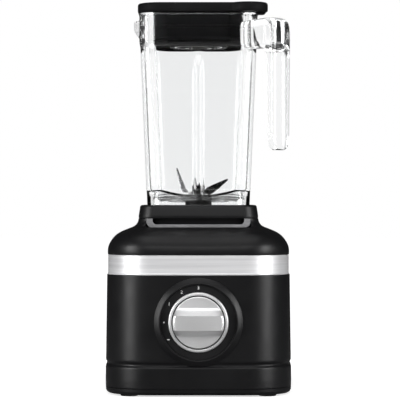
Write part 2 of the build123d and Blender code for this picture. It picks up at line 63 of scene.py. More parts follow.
def low(node):
    """Lowest corner of a frame node, in metres."""
    return np.array(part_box(node)[0])


def high(node):
    """Highest corner of a frame node, in metres."""
    return np.array(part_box(node)[1])


# ---- places that come from the frame ------------------------------------------
HOUSING_LOW, HOUSING_HIGH = low("base_housing"), high("base_housing")
BAND_LOW, BAND_HIGH = low("trim_band"), high("trim_band")
COVER_HIGH = high("shoulder_cover")
PAD_LOW = low("jar_seat_pad")
COLLAR_LOW, COLLAR_HIGH = low("jar_collar"), high("jar_collar")
JAR_LOW, JAR_HIGH = low("jar"), high("jar")
PLUG_LOW, LID_HIGH = low("lid_plug"), high("lid")
CAP_LOW, CAP_HIGH = low("centre_cap"), high("centre_cap")
BEZEL_LOW, BEZEL_HIGH = low("dial_bezel"), high("dial_bezel")
RING_LOW, RING_HIGH = low("dial_trim_ring"), high("dial_trim_ring")
KNOB_LOW, KNOB_HIGH = low("dial_knob"), high("dial_knob")
DIAL_CENTRE_Z = (KNOB_LOW[2] + KNOB_HIGH[2]) / 2
PLATE_FACE_Y = low("dial_plate")[1]


# ---- measures that the frame doesn't hold -----------------------------------------
PLINTH = 23.0                      # foot of the body up to its crease, millimetres
# shoulder: height, half width, plan corner
SHOULDER = np.array([
    (142.8, 93.6, 47.5), (145.6, 93.7, 47.2), (148.5, 93.45, 46.6), (151.5, 92.75, 45.6),
    (154.5, 91.35, 44.0), (157.5, 89.35, 41.8), (160.5, 86.85, 39.2), (163.5, 83.5, 36.0),
    (166.2, 79.0, 32.0), (168.4, 73.8, 27.2), (170.3, 68.7, 23.0), (172.3, 65.0, 20.0),
    (174.6, 62.9, 18.4), (177.0, 61.8, 17.5), (179.4, 61.3, 17.0),
]) * MM
SLOT_HALF, SLOT_CORNER = 53 * MM, 6 * MM
# deck inside the neck, millimetres: drive well, outer half width, underside, top
WELL, DECK_HALF, DECK_UNDER, DECK_TOP = 23.0, 57.6, 166.5, 170.5
# jar: height, half width
JAR_TAPER = np.array([
    (190.0, 52.6), (208.4, 53.3), (210.4, 53.6), (213.0, 53.6),
    (354.0, 59.45), (358.5, 60.3), (361.0, 60.5), (389.5, 60.5),
]) * MM
SPOUT_ANGLE, SPOUT_REACH = radians(135), 15.5 * MM
HUB_HOLE, FLOOR_THICK = 14.4 * MM, 2.0 * MM
# side view of the handle: share of the way, inner point, outer point, half width
HANDLE_SIDE = np.array([
    (0.00, 76.2, 352.8, 76.2, 381.0, 15.8), (0.09, 88.0, 352.6, 90.0, 381.8, 15.2),
    (0.17, 96.5, 352.4, 104.0, 382.6, 14.5), (0.23, 101.5, 351.4, 112.0, 382.3, 14.0),
    (0.28, 104.8, 349.0, 116.8, 380.2, 13.7), (0.33, 106.6, 345.2, 119.2, 375.5, 13.5),
    (0.39, 107.4, 338.5, 119.8, 364.0, 13.4), (0.52, 107.8, 318.0, 119.8, 328.0, 13.2),
    (0.72, 108.3, 285.0, 119.5, 286.5, 12.7), (0.90, 108.9, 258.0, 119.1, 258.0, 11.9),
    (0.96, 109.7, 251.4, 118.4, 251.4, 10.2), (1.00, 111.6, 248.7, 116.8, 248.7, 6.8),
])
HANDLE_SIDE[:, 1:] *= MM
# each wing: turn in plan, start of the bend, lift, reach beyond it, root width, level, twist
BLADE_WINGS = {
    "lower_blade": ((112.0, 9.3, 0.0, 18.0, 8.0, 204.8, 0.0), (-84.0, 9.3, 45.0, 23.0, 7.0, 204.8, 0.0)),
    "upper_blade": ((154.0, 16.0, 70.0, 27.0, 14.0, 206.4, 0.0),
                    (-26.0, 9.3, 29.0, 28.0, 13.0, 206.4, -30.0)),
}
BLADE_ROOT = 5.0                   # where every wing begins, millimetres from the axis


# ---- settings -------------------------------------------------------------------
class BodySettings(bpy.types.PropertyGroup):
    """Sizes of the motor base."""
    corner: FloatProperty(name="Corner radius", description="Plan corner of the body",
                          default=48 * MM, unit="LENGTH")
    crown: FloatProperty(name="Crown", description="How far the faces bow outwards",
                         default=1.4 * MM, unit="LENGTH")
    wall: FloatProperty(name="Wall", description="Thickness of the mouldings",
                        default=2.6 * MM, unit="LENGTH")
    black: FloatVectorProperty(name="Body black", description="Colour of the body mouldings", subtype="COLOR",
                               size=3, min=0, max=1, default=(0.0045, 0.0045, 0.005))
    silver: FloatVectorProperty(name="Band silver", description="Colour of the trim band", subtype="COLOR",
                                size=3, min=0, max=1, default=(0.72, 0.72, 0.73))


class DialSettings(bpy.types.PropertyGroup):
    """Sizes of the dial."""
    mark_radius: FloatProperty(name="Mark radius", description="Circle that the marks stand on",
                               default=34.6 * MM, unit="LENGTH")
    digit_size: FloatProperty(name="Digit size", description="Height of the digits' type",
                              default=4.6 * MM, unit="LENGTH")
    grip: FloatProperty(name="Grip height", description="Height of the bar across the knob",
                        default=15 * MM, unit="LENGTH")
    silver: FloatVectorProperty(name="Knob silver", description="Colour of the knob and its ring",
                                subtype="COLOR", size=3, min=0, max=1, default=(0.78, 0.78, 0.785))


class JarSettings(bpy.types.PropertyGroup):
    """Sizes of the jar and the lid."""
    wall: FloatProperty(name="Wall", description="Thickness of the flat walls",
                        default=3.2 * MM, unit="LENGTH")
    corner: FloatProperty(name="Corner radius", description="Outer plan corner",
                          default=14 * MM, unit="LENGTH")
    foot_corner: FloatProperty(name="Foot corner", description="Outer plan corner inside the collar",
                               default=20 * MM, unit="LENGTH")
    chamfer: FloatProperty(name="Inner chamfer", description="Width cut off each inner corner",
                           default=12 * MM, unit="LENGTH")
    rib: FloatProperty(name="Rib height", description="Height of the upright rib inside each wall",
                       default=1.6 * MM, unit="LENGTH")
    tint: FloatVectorProperty(name="Clear tint", description="Colour of the clear moulding", subtype="COLOR",
                              size=3, min=0, max=1, default=(0.985, 0.99, 0.992))


class StageSettings(bpy.types.PropertyGroup):
    """Camera and light."""
    distance: FloatProperty(name="Camera distance", description="From the motor axis",
                            default=2.3, unit="LENGTH")
    eye: FloatProperty(name="Camera height", description="Above the floor", default=0.1983, unit="LENGTH")
    lens: FloatProperty(name="Lens", description="Focal length in millimetres", default=197.9)
    key: FloatProperty(name="Key light", description="Watts of the large soft lights", default=12.0)
    room: FloatProperty(name="Room light", description="Strength of the even light from all round",
                        default=0.03)


# ---- surfaces ---------------------------------------------------------------------
def placed(name, data):
    """New object in the scene for a mesh, a curve, a camera or a lamp."""
    thing = bpy.data.objects.new(name, data)
    bpy.context.scene.collection.objects.link(thing)
    return thing


def surface(name, points, closed_profile=False, cap_start=False, cap_end=False, sharp=38.0):
    """Mesh from points[row, column]: quads join each row to the next and each column to the
    next one round. A closed profile also joins the last row to the first; a cap is one face
    across an end row. Faces are turned so that the volume inside is positive."""
    rows, columns = points.shape[:2]
    index = np.arange(rows * columns).reshape(rows, columns)
    lower = index if closed_profile else index[:-1]
    upper = np.roll(index, -1, axis=0) if closed_profile else index[1:]
    quads = np.stack([lower, np.roll(lower, -1, axis=1), np.roll(upper, -1, axis=1), upper], axis=-1)
    quads = quads.reshape(-1, 4)
    flat = points.reshape(-1, 3)
    a, b, c, d = (flat[quads[:, k]] for k in range(4))
    volume = np.einsum("ij,ij->i", a, np.cross(b, c)).sum() + np.einsum("ij,ij->i", a, np.cross(c, d)).sum()
    caps = []
    if cap_start:
        caps.append(index[0, ::-1])
    if cap_end:
        caps.append(index[-1])
    for cap in caps:
        ring = flat[cap]
        volume += np.einsum("ij,ij->i", ring, np.cross(np.roll(ring, -1, axis=0), ring.mean(axis=0))).sum()
    faces = quads.tolist() + [cap.tolist() for cap in caps]
    if volume < 0:
        faces = quads[:, ::-1].tolist() + [cap[::-1].tolist() for cap in caps]
    mesh = bpy.data.meshes.new(name)
    mesh.from_pydata(flat.tolist(), [], faces)
    mesh.shade_smooth()
    mesh.set_sharp_from_angle(angle=radians(sharp))
    mesh.update()
    return placed(name, mesh)


def rounded_path(corners, steps=6, closed=False):
    """Path through corners given as (across, height, radius) in millimetres: each corner is
    replaced by a curve that starts and ends one radius before and after it. The curve is the
    quadratic (1-t)^2 A + 2t(1-t) B + t^2 C."""
    places = np.array([corner[:2] for corner in corners], float)
    count = len(corners)
    t = np.linspace(0, 1, steps)[:, None]
    path = []
    for k, (_, _, radius) in enumerate(corners):
        here = places[k]
        at_end = not closed and k in (0, count - 1)
        if radius <= 0 or at_end:
            path.append(here[None])
            continue
        back, ahead = places[k - 1] - here, places[(k + 1) % count] - here
        reach_back = min(radius, 0.49 * np.linalg.norm(back))
        reach_ahead = min(radius, 0.49 * np.linalg.norm(ahead))
        start = here + back / np.linalg.norm(back) * reach_back
        end = here + ahead / np.linalg.norm(ahead) * reach_ahead
        path.append((1 - t) ** 2 * start + 2 * t * (1 - t) * here + t ** 2 * end)
    return np.concatenate(path) * MM


def filled(path, step):
    """Adds points to a path so that no gap along it is longer than step."""
    gaps = np.linalg.norm(np.diff(path, axis=0), axis=1)
    counts = np.maximum(1, np.ceil(gaps / step).astype(int))
    starts = np.repeat(path[:-1], counts, axis=0)
    spans = np.repeat(np.diff(path, axis=0), counts, axis=0)
    order = np.arange(counts.sum()) - np.repeat(np.cumsum(counts) - counts, counts)
    share = order / np.repeat(counts, counts)
    return np.concatenate([starts + spans * share[:, None], path[-1:]])


def round_angles(columns):
    """Angles once round, as a row."""
    return np.linspace(0, 2 * pi, columns, endpoint=False)[None]


def square_reach(theta, half, corner, crown=0.0):
    """Distance from the axis to a rounded square: half / cos on the flats and, on the corners,
    c(cos + sin) + sqrt(corner^2 - c^2 (1 - sin 2a)) with c = half - corner. The crown takes a
    little off towards the corners, in proportion to sin^2 of twice the angle."""
    cos, sin = np.abs(np.cos(theta)), np.abs(np.sin(theta))
    long, short = np.maximum(cos, sin), np.minimum(cos, sin)
    c = half - corner
    flat = half / long
    inside = np.maximum(corner ** 2 - c ** 2 * (1 - 2 * long * short), 0)
    bend = c * (long + short) + np.sqrt(inside)
    reach = np.where(half * short / long <= c, flat, bend)
    return reach - crown * (2 * long * short) ** 2


def chamfer_reach(theta, half, chamfer, soft=1.2 * MM):
    """Distance from the axis to a square with cut corners: the smaller of half / cos and
    (2 half - chamfer) / (cos + sin), rounded where they meet by a soft minimum."""
    cos, sin = np.abs(np.cos(theta)), np.abs(np.sin(theta))
    flat = half / np.maximum(cos, sin)
    cut = (2 * half - chamfer) / (cos + sin)
    gap = flat - cut
    return (flat + cut - np.sqrt(gap ** 2 + soft ** 2)) / 2


def smooth_step(value, start, end):
    """0 before start, 1 after end, with a smooth rise 3t^2 - 2t^3 between."""
    t = np.clip((value - start) / (end - start), 0, 1)
    return t * t * (3 - 2 * t)


def from_reach(reach, z, theta):
    """Points at distance reach from the axis, at angle theta and height z."""
    z = np.broadcast_to(z, reach.shape)
    return np.stack([reach * np.cos(theta), reach * np.sin(theta), z], axis=-1)


def carried(path, corner, crown=0.0):
    """Carries a profile (half width, height) round a rounded square. corner is the radius at
    each profile point, never more than the half width there, which makes a circle."""
    half, z = path[:, :1], path[:, 1:]
    theta = round_angles(COLUMNS)
    corner = np.minimum(np.broadcast_to(corner, half.shape), half)
    return from_reach(square_reach(theta, half, corner, crown), z, theta)


def turned(path, columns=240):
    """Turns a profile (radius, height) about the upright axis."""
    theta = round_angles(columns)
    return from_reach(np.broadcast_to(path[:, :1], (len(path), columns)), path[:, 1:], theta)


def on_dial(across, y, up):
    """Points at a distance across and up from the dial's axis, which points at the front."""
    return np.stack([across, np.broadcast_to(y, across.shape), DIAL_CENTRE_Z + up], axis=-1)


def turned_front(path):
    """Turns a profile (radius, y) about the dial's axis."""
    theta = round_angles(240)
    return on_dial(path[:, :1] * np.cos(theta), path[:, 1:], path[:, :1] * np.sin(theta))


def about_diagonal(points):
    """Turns points drawn along +X to the handle's corner, 45 degrees towards the front."""
    turn = np.array([[1, 1, 0], [-1, 1, 0], [0, 0, np.sqrt(2)]]) / np.sqrt(2)
    return points @ turn.T


# ---- materials ----------------------------------------------------------------------
class Finish:
    """A material with a Principled shader and short ways to add procedural detail."""

    def __init__(self, name, **sockets):
        self.material = bpy.data.materials.new(name)
        self.material.use_nodes = True
        self.nodes = self.material.node_tree.nodes
        self.links = self.material.node_tree.links
        self.shader = self.adjust(self.nodes["Principled BSDF"], sockets)
        self.place = self.add("TexCoord").outputs["Object"]

    def adjust(self, node, sockets):
        """Sets inputs of a node by name; an underscore stands for a space."""
        for socket, value in sockets.items():
            node.inputs[socket.replace("_", " ")].default_value = value
        return node

    def add(self, kind, **sockets):
        """New shader node with some of its inputs set."""
        return self.adjust(self.nodes.new("ShaderNode" + kind), sockets)

    def noise(self, scale, detail=3.0, stretch=(1, 1, 1), rough=0.5):
        """Noise output on object coordinates, stretched along the axes."""
        mapping = self.add("Mapping", Scale=stretch)
        texture = self.add("TexNoise", Scale=scale, Detail=detail, Roughness=rough)
        self.links.new(self.place, mapping.inputs["Vector"])
        self.links.new(mapping.outputs["Vector"], texture.inputs["Vector"])
        return texture.outputs["Fac"]

    def bands(self, scale, distortion=0.0):
        """Level bands, one above another."""
        wave = self.add("TexWave", Scale=scale, Distortion=distortion)
        wave.bands_direction = "Z"
        self.links.new(self.place, wave.inputs["Vector"])
        return wave.outputs["Fac"]

    def spread(self, value, low_end, high_end, start=0.3, end=0.7):
        """Maps a noise value to a range."""
        node = self.add("MapRange", From_Min=start, From_Max=end, To_Min=low_end, To_Max=high_end)
        self.links.new(value, node.inputs["Value"])
        return node.outputs["Result"]

    def roughness(self, value, low_end, high_end):
        """Roughness that varies between two values."""
        self.links.new(self.spread(value, low_end, high_end), self.shader.inputs["Roughness"])
        return self

    def colour(self, value, first, second):
        """Base colour that varies between two colours."""
        ramp = self.add("ValToRGB")
        for stop, position, shade in zip(ramp.color_ramp.elements, (0.3, 0.7), (first, second)):
            stop.position, stop.color = position, (*shade, 1)
        self.links.new(value, ramp.inputs["Fac"])
        self.links.new(ramp.outputs["Color"], self.shader.inputs["Base Color"])
        return self

    def bump(self, value, strength, distance):
        """Small surface relief."""
        node = self.add("Bump", Strength=strength, Distance=distance)
        self.links.new(value, node.inputs["Height"])
        self.links.new(node.outputs["Normal"], self.shader.inputs["Normal"])
        return self


def scaled(colour, factor):
    """A colour made lighter or darker."""
    return tuple(min(1.0, channel * factor) for channel in colour)


def moulded(name, colour, low_rough, high_rough, grain=2600.0, relief=0.08):
    """Moulded plastic: fine spark-eroded grain, faint colour drift."""
    finish = Finish(name, Specular_IOR_Level=0.24)
    drift = finish.noise(18.0)
    fine = finish.noise(grain, detail=2.0)
    finish.colour(drift, scaled(colour, 0.85), scaled(colour, 1.15))
    finish.roughness(finish.noise(60.0, detail=4.0), low_rough, high_rough)
    return finish.bump(fine, relief, 0.02 * MM).material


def brushed(name, colour, stretch, low_rough, high_rough, relief=0.25, metallic=1.0):
    """Brushed metal: noise drawn out along the strokes, in colour, roughness and relief."""
    finish = Finish(name, Metallic=metallic)
    strokes = finish.noise(220.0, detail=5.0, stretch=stretch, rough=0.7)
    finish.colour(strokes, scaled(colour, 0.86), scaled(colour, 1.1))
    finish.roughness(strokes, low_rough, high_rough)
    return finish.bump(strokes, relief, 0.03 * MM).material


def satin_metal(name, colour, low_rough, high_rough, metallic=1.0):
    """Sprayed satin metal: very fine sparkle and soft roughness drift."""
    finish = Finish(name, Metallic=metallic)
    finish.colour(finish.noise(1500.0, detail=2.0), scaled(colour, 0.93), scaled(colour, 1.06))
    finish.roughness(finish.noise(40.0, detail=3.0), low_rough, high_rough)
    return finish.bump(finish.noise(1800.0), 0.06, 0.02 * MM).material


def clear(name, tint, ior=1.49):
    """Clear polished plastic with the faint waves of a moulding."""
    finish = Finish(name, IOR=ior, Transmission_Weight=1.0, Base_Color=(*tint, 1))
    finish.roughness(finish.noise(30.0, detail=1.0), 0.0, 0.02)
    return finish.bump(finish.noise(9.0, detail=1.0), 0.02, 0.3 * MM).material


def rubbery(name, colour, low_rough, high_rough):
    """Soft rubber: dull, with a fine even grain and a little dust in the colour."""
    finish = Finish(name, Specular_IOR_Level=0.06)
    finish.colour(finish.noise(45.0, detail=5.0), scaled(colour, 0.8), scaled(colour, 1.3))
    finish.roughness(finish.noise(90.0), low_rough, high_rough)
    return finish.bump(finish.noise(3200.0, detail=1.0), 0.04, 0.01 * MM).material


def wound(name, colour):
    """Enamelled wire laid in rows: fine bands across the height."""
    finish = Finish(name, Metallic=1.0)
    turns = finish.bands(320.0, distortion=0.6)
    finish.colour(turns, scaled(colour, 0.55), scaled(colour, 1.1))
    finish.roughness(finish.noise(200.0), 0.25, 0.4)
    return finish.bump(turns, 0.5, 0.15 * MM).material


def layered(name, colour):
    """Stacked sheet steel: thin level lines between the sheets."""
    finish = Finish(name, Metallic=1.0)
    sheets = finish.bands(480.0)
    finish.colour(sheets, scaled(colour, 0.6), scaled(colour, 1.1))
    finish.roughness(finish.noise(120.0), 0.35, 0.55)
    return finish.bump(sheets, 0.4, 0.1 * MM).material


def make_materials():
    """One finish for each of the object's materials, by name."""
    scene = bpy.context.scene
    body, dial, jar = scene.blender_body, scene.blender_dial, scene.blender_jar
    return {
        "body_black": moulded("body_black", tuple(body.black), 0.34, 0.42),
        "inner_black": moulded("inner_black", (0.004, 0.004, 0.0045), 0.5, 0.65, grain=1800.0, relief=0.15),
        "silver_trim": brushed("silver_trim", tuple(body.silver), (0.02, 0.02, 1.6), 0.36, 0.48, 0.12,
                               metallic=0.5),
        "silver_dial": satin_metal("silver_dial", tuple(dial.silver), 0.3, 0.4, metallic=0.7),
        "grey_rubber": rubbery("grey_rubber", (0.16, 0.16, 0.165), 0.5, 0.65),
        "black_rubber": rubbery("black_rubber", (0.006, 0.006, 0.0065), 0.5, 0.62),
        "clear_jar": clear("clear_jar", tuple(jar.tint)),
        "clear_grip": clear("clear_grip", scaled(tuple(jar.tint), 0.96), ior=1.47),
        "blade_steel": brushed("blade_steel", (0.09, 0.09, 0.093), (1.0, 0.15, 1.0), 0.2, 0.34),
        "steel": brushed("steel", (0.5, 0.5, 0.52), (1.0, 1.0, 0.1), 0.2, 0.35),
        "zinc_steel": satin_metal("zinc_steel", (0.5, 0.51, 0.5), 0.35, 0.5),
        "laminations": layered("laminations", (0.32, 0.33, 0.35)),
        "copper": wound("copper", (0.7, 0.3, 0.14)),
        "carbon": moulded("carbon", (0.02, 0.02, 0.02), 0.5, 0.7, grain=900.0, relief=0.3),
        "board_green": moulded("board_green", (0.03, 0.16, 0.07), 0.25, 0.4, grain=700.0),
        "white_nylon": moulded("white_nylon", (0.75, 0.75, 0.72), 0.4, 0.5),
        "bronze": satin_metal("bronze", (0.5, 0.34, 0.17), 0.35, 0.5),
        "mark_white": moulded("mark_white", (0.75, 0.75, 0.75), 0.5, 0.6),
    }


MATERIALS = {}


def dress(piece, body, slot, material=None, replaces=()):
    """Gives a piece its material (the named one, else the slot's), attaches it to its body and hides the
    frame nodes that it replaces.
    """
    piece.data.materials.clear()
    piece.data.materials.append(MATERIALS[material or slot])
    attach(piece, body)
    if replaces:
        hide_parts(*replaces)
    return piece


def hoop(name, points, body, slot, replaces=(), sharp=38.0):
    """A dressed piece whose closed profile runs all the way round."""
    return dress(surface(name, points, closed_profile=True, sharp=sharp), body, slot, replaces=replaces)


def capped(name, points, body, slot, replaces=(), sharp=38.0, material=None):
    """A dressed piece with a face across its first row and its last."""
    piece = surface(name, points, cap_start=True, cap_end=True, sharp=sharp)
    return dress(piece, body, slot, material, replaces)


# ---- base -----------------------------------------------------------------------------
class BLENDER_OT_body(bpy.types.Operator):
    """Housing skin: plinth, crease and the gently tapered body above it."""
    bl_idname = "blender_maker.body"
    bl_label = "Body shell"

    def execute(self, context):
        body = context.scene.blender_body
        foot, top = HOUSING_LOW[2] / MM, HOUSING_HIGH[2] / MM
        half = HOUSING_HIGH[0] / MM
        crease = foot + PLINTH
        corners = [
            (half - 3.4, foot, 0.6), (half - 0.2, foot, 0.9), (half, foot + 8, 0),
            (half - 0.1, crease - 1.4, 1.2), (half - 1.9, crease + 0.3, 0.8), (half - 1.9, crease + 2.2, 0.8),
            (half - 0.3, crease + 4.2, 1.6), (half - 0.6, crease + 30, 10), (half - 1.5, top, 0.5),
            (half - 4.4, top, 0.4), (half - 3.6, crease, 0.5),
        ]
        path = filled(rounded_path(corners, closed=True), 1.5 * MM)
        corner = body.corner - (HOUSING_HIGH[0] - path[:, :1])
        points = carried(path, corner, body.crown)
        # the face steps back behind the dial, and the bezel covers the edge of the step
        distance = np.hypot(points[..., 0], points[..., 2] - DIAL_CENTRE_Z)
        set_back = BEZEL_HIGH[1] - 0.1 * MM
        pocket = (distance < BEZEL_HIGH[0] - 2.5 * MM) & (points[..., 1] < set_back)
        points[..., 1] = np.where(pocket, set_back, points[..., 1])
        hoop("body_shell", points, "base", "body_black", ["base_housing"])
        return {"FINISHED"}


def spread_over(column, places, table):
    """Reads one column of a table at places along its first column. The curve through the rows
    is a cubic Hermite with central slopes."""
    at, values = table[:, 0], table[:, column]
    slopes = np.gradient(values, at)
    k = np.clip(np.searchsorted(at, places) - 1, 0, len(table) - 2)
    width = at[k + 1] - at[k]
    t = (places - at[k]) / width
    return ((2 * t ** 3 - 3 * t ** 2 + 1) * values[k] + (t ** 3 - 2 * t ** 2 + t) * width * slopes[k]
            + (3 * t ** 2 - 2 * t ** 3) * values[k + 1] + (t ** 3 - t ** 2) * width * slopes[k + 1])


class BLENDER_OT_shoulder(bpy.types.Operator):
    """Shoulder skin: bulges over the band, flares up to the square neck, and dips at the front
    where the drain slot is cut."""
    bl_idname = "blender_maker.shoulder"
    bl_label = "Shoulder"

    def execute(self, context):
        body = context.scene.blender_body
        theta = round_angles(900)
        base_z, neck_z = BAND_HIGH[2], COVER_HIGH[2]
        reach = square_reach(theta, SHOULDER[-1, 1], SHOULDER[-1, 2])
        x, y = reach * np.cos(theta), reach * np.sin(theta)
        edge = np.clip((np.abs(x) - (SLOT_HALF - SLOT_CORNER)) / SLOT_CORNER, 0, 1)
        floor = PAD_LOW[2] + SLOT_CORNER * (1 - np.sqrt(1 - edge ** 2))
        in_slot = (y < 0) & (np.abs(x) < SLOT_HALF)
        rim = np.where(in_slot, np.minimum(floor, neck_z), neck_z)
        share = np.linspace(0, 1, 70)[:, None]
        z = base_z + share * (rim - base_z)
        crown = body.crown * (1 - smooth_step(z, base_z, PAD_LOW[2]))
        outer_half = spread_over(1, z, SHOULDER)
        outer_corner = spread_over(2, z, SHOULDER)
        outer = from_reach(square_reach(theta, outer_half, outer_corner, crown), z, theta)
        wall = body.wall
        inner_reach = square_reach(theta, outer_half - wall, outer_corner - wall, crown)
        inner = from_reach(inner_reach, z - 0.6 * wall, theta)
        inner[0, :, 2] = base_z
        hoop("shoulder_shell", np.concatenate([outer, inner[::-1]]), "base", "body_black", ["shoulder_cover"])
        deck = rounded_path([(WELL, DECK_UNDER, 0), (WELL, DECK_TOP, 0.5), (DECK_HALF, DECK_TOP, 0),
                             (DECK_HALF, DECK_UNDER, 0)], closed=True)
        # a corner larger than the half width makes the well's edge a circle
        corner = np.where(deck[:, :1] < (WELL + 7) * MM, 1.0, 13.4 * MM)
        hoop("neck_deck", carried(deck, corner), "base", "inner_black")
        return {"FINISHED"}


class BLENDER_OT_band(bpy.types.Operator):
    """Silver band: nearly flat, with a thin turned lip along its lower edge."""
    bl_idname = "blender_maker.band"
    bl_label = "Trim band"

    def execute(self, context):
        body = context.scene.blender_body
        foot, top, half = BAND_LOW[2] / MM, BAND_HIGH[2] / MM, BAND_HIGH[0] / MM
        corners = [
            (half - 1.3, foot, 0.2), (half - 0.05, foot, 0.5), (half, foot + 1.4, 0.3),
            (half - 0.35, foot + 1.9, 0.3), (half - 0.3, foot + 10, 0), (half - 0.4, top - 0.5, 0.4),
            (half - 1.0, top, 0.2), (half - 1.3, top, 0.1),
        ]
        path = rounded_path(corners, steps=5, closed=True)
        corner = body.corner - 0.5 * MM - (BAND_HIGH[0] - path[:, :1])
        points = carried(path, corner, body.crown)
        hoop("silver_band", points, "base", "silver_trim", ["trim_band"], sharp=30)
        return {"FINISHED"}


class BLENDER_OT_dial(bpy.types.Operator):
    """Dial: rounded bezel, silver ring, knob with a scooped grip bar, digits and marks."""
    bl_idname = "blender_maker.dial"
    bl_label = "Dial"

    def execute(self, context):
        dial = context.scene.blender_dial
        back, front = BEZEL_HIGH[1] / MM, BEZEL_LOW[1] / MM
        outer, inner = BEZEL_HIGH[0] / MM, high("dial_plate")[0] / MM
        lip, fall = 1.1, 3.3
        share = np.linspace(0, 1, 26)[:, None]
        slope = np.hstack([inner + lip + (outer - inner - lip) * share, front + fall * share ** 1.25])
        bezel = np.concatenate([[(inner - 0.1, back), (inner - 0.1, front + 1.0), (inner + 0.3, front + 0.25),
                                 (inner + 0.9, front)], slope, [(outer, back)]])
        hoop("dial_surround", turned_front(bezel * MM), "base", "body_black", ["dial_bezel"])

        outer, front, back = RING_HIGH[0] / MM, RING_LOW[1] / MM, PLATE_FACE_Y / MM
        ring = rounded_path([
            (outer - 3.2, back, 0), (outer - 3.2, front + 0.9, 0.4), (outer - 2.7, front, 0.6),
            (outer - 0.9, front, 0.8), (outer, front + 1.2, 0.7), (outer, back, 0),
        ], closed=True)
        hoop("dial_ring", turned_front(ring), "base", "silver_dial", ["dial_trim_ring"])
        self.knob(dial)
        self.marks(dial)
        return {"FINISHED"}

    def knob(self, dial):
        """Knob front: depth is the disc plus the bar. Beside the bar the surface falls in a
        concave scoop, (1 - s) squared, where s runs from the bar's edge outwards."""
        theta = round_angles(360)
        outer, disc, scoop_wide, edge = KNOB_HIGH[0], 4.6 * MM, 7.5 * MM, 0.8 * MM
        radius = np.linspace(0.4 * MM, outer - edge, 90)[:, None]
        disc_y, bar_y = KNOB_HIGH[1] - disc, KNOB_LOW[1]
        across, up = radius * np.cos(theta), radius * np.sin(theta)
        beyond = (np.abs(up) - dial.grip / 2) / scoop_wide
        scoop = np.clip(1 - beyond, 0, 1) ** 2
        height = np.where(beyond < 0, 1.0, 0.93 * scoop)
        height = height - 0.03 * smooth_step(np.abs(across), 12 * MM, 26 * MM)
        rim = 1 - 0.10 * smooth_step(radius, outer - 3 * edge, outer - edge)
        y = disc_y + (bar_y - disc_y) * height * rim
        rings = [on_dial(across, y, up)]
        for inset, share in ((0.25, 0.06), (0.0, 0.16), (0.0, 0.6), (0.0, 1.0)):
            side = outer - inset * MM
            edge_y = y[-1:] + (KNOB_HIGH[1] - y[-1:]) * share
            rings.append(on_dial(side * np.cos(theta), edge_y, side * np.sin(theta)))
        capped("grip_knob", np.concatenate(rings), "knob", "silver_dial", ["dial_knob"], sharp=50)
        # an oval dot near the left end of the bar, 3.2 times as wide as it is high
        theta = round_angles(48)
        dot = rounded_path([(0.3, 1.2, 0), (0.9, 1.2, 0.3), (1.1, 0.0, 0)], steps=4)
        points = on_dial(-20.5 * MM + 3.2 * dot[:, :1] * np.cos(theta),
                         KNOB_LOW[1] + 1.0 * MM - 0.5 * dot[:, 1:], dot[:, :1] * np.sin(theta))
        capped("knob_pointer", points, "knob", "inner_black")

    def marks(self, dial):
        """Digits 1 to 3, a rest dot and a plain bar, each standing a hair above the plate."""
        for text, angle in (("1", 148.0), ("2", 119.0), ("3", 90.0)):
            curve = bpy.data.curves.new("digit", "FONT")
            curve.body = text
            curve.size = dial.digit_size
            curve.extrude = 0.04 * MM
            curve.align_x, curve.align_y = "CENTER", "CENTER"
            carrier = placed("digit", curve)
            bpy.context.view_layer.update()
            finished = carrier.evaluated_get(bpy.context.evaluated_depsgraph_get())
            shape = bpy.data.meshes.new_from_object(finished)
            bpy.data.objects.remove(carrier)
            turn = radians(angle)
            spot = Vector((dial.mark_radius * np.cos(turn), PLATE_FACE_Y - 0.02 * MM,
                           DIAL_CENTRE_Z + dial.mark_radius * np.sin(turn)))
            shape.transform(Matrix.Translation(spot) @ Matrix.Rotation(pi / 2, 4, "X"))
            dress(placed("dial_digit_" + text, shape), "base", "inner_black", material="mark_white")
        for name, angle, size_x, size_z in (("rest_dot", 180.0, 0.8, 0.8), ("pulse_bar", 210.0, 1.5, 0.55)):
            turn = radians(angle)
            theta = round_angles(40)
            rings = np.array([(1.0, 0.0), (1.0, 0.06), (0.2, 0.08)])[..., None] * MM
            points = on_dial(dial.mark_radius * np.cos(turn) + size_x * rings[:, 0] * np.cos(theta),
                             PLATE_FACE_Y - rings[:, 1],
                             dial.mark_radius * np.sin(turn) + size_z * rings[:, 0] * np.sin(theta))
            capped("dial_" + name, points, "base", "inner_black", material="mark_white")


# ---- jar --------------------------------------------------------------------------------
def jar_half(z):
    """Outer half width of the jar, read along straight lines between the taper's rows."""
    return np.interp(z, JAR_TAPER[:, 0], JAR_TAPER[:, 1])


def bowl_height(reach):
    """Height of the jar's inner floor: a bowl, 199.4 + 14.6 u^3 in millimetres, where u runs
    from 0 at the hub hole to 1 at the corners."""
    return (199.4 + 14.6 * (np.maximum(reach - HUB_HOLE, 0) / (54 * MM)) ** 3) * MM


def spout_bulge(theta, z):
    """Outward lean of the rear left corner: a bell curve round the corner that rises smoothly
    with height."""
    bell = np.exp(-((theta - SPOUT_ANGLE) / radians(8.5)) ** 2)
    return SPOUT_REACH * bell * smooth_step(z, 362 * MM, 382 * MM)


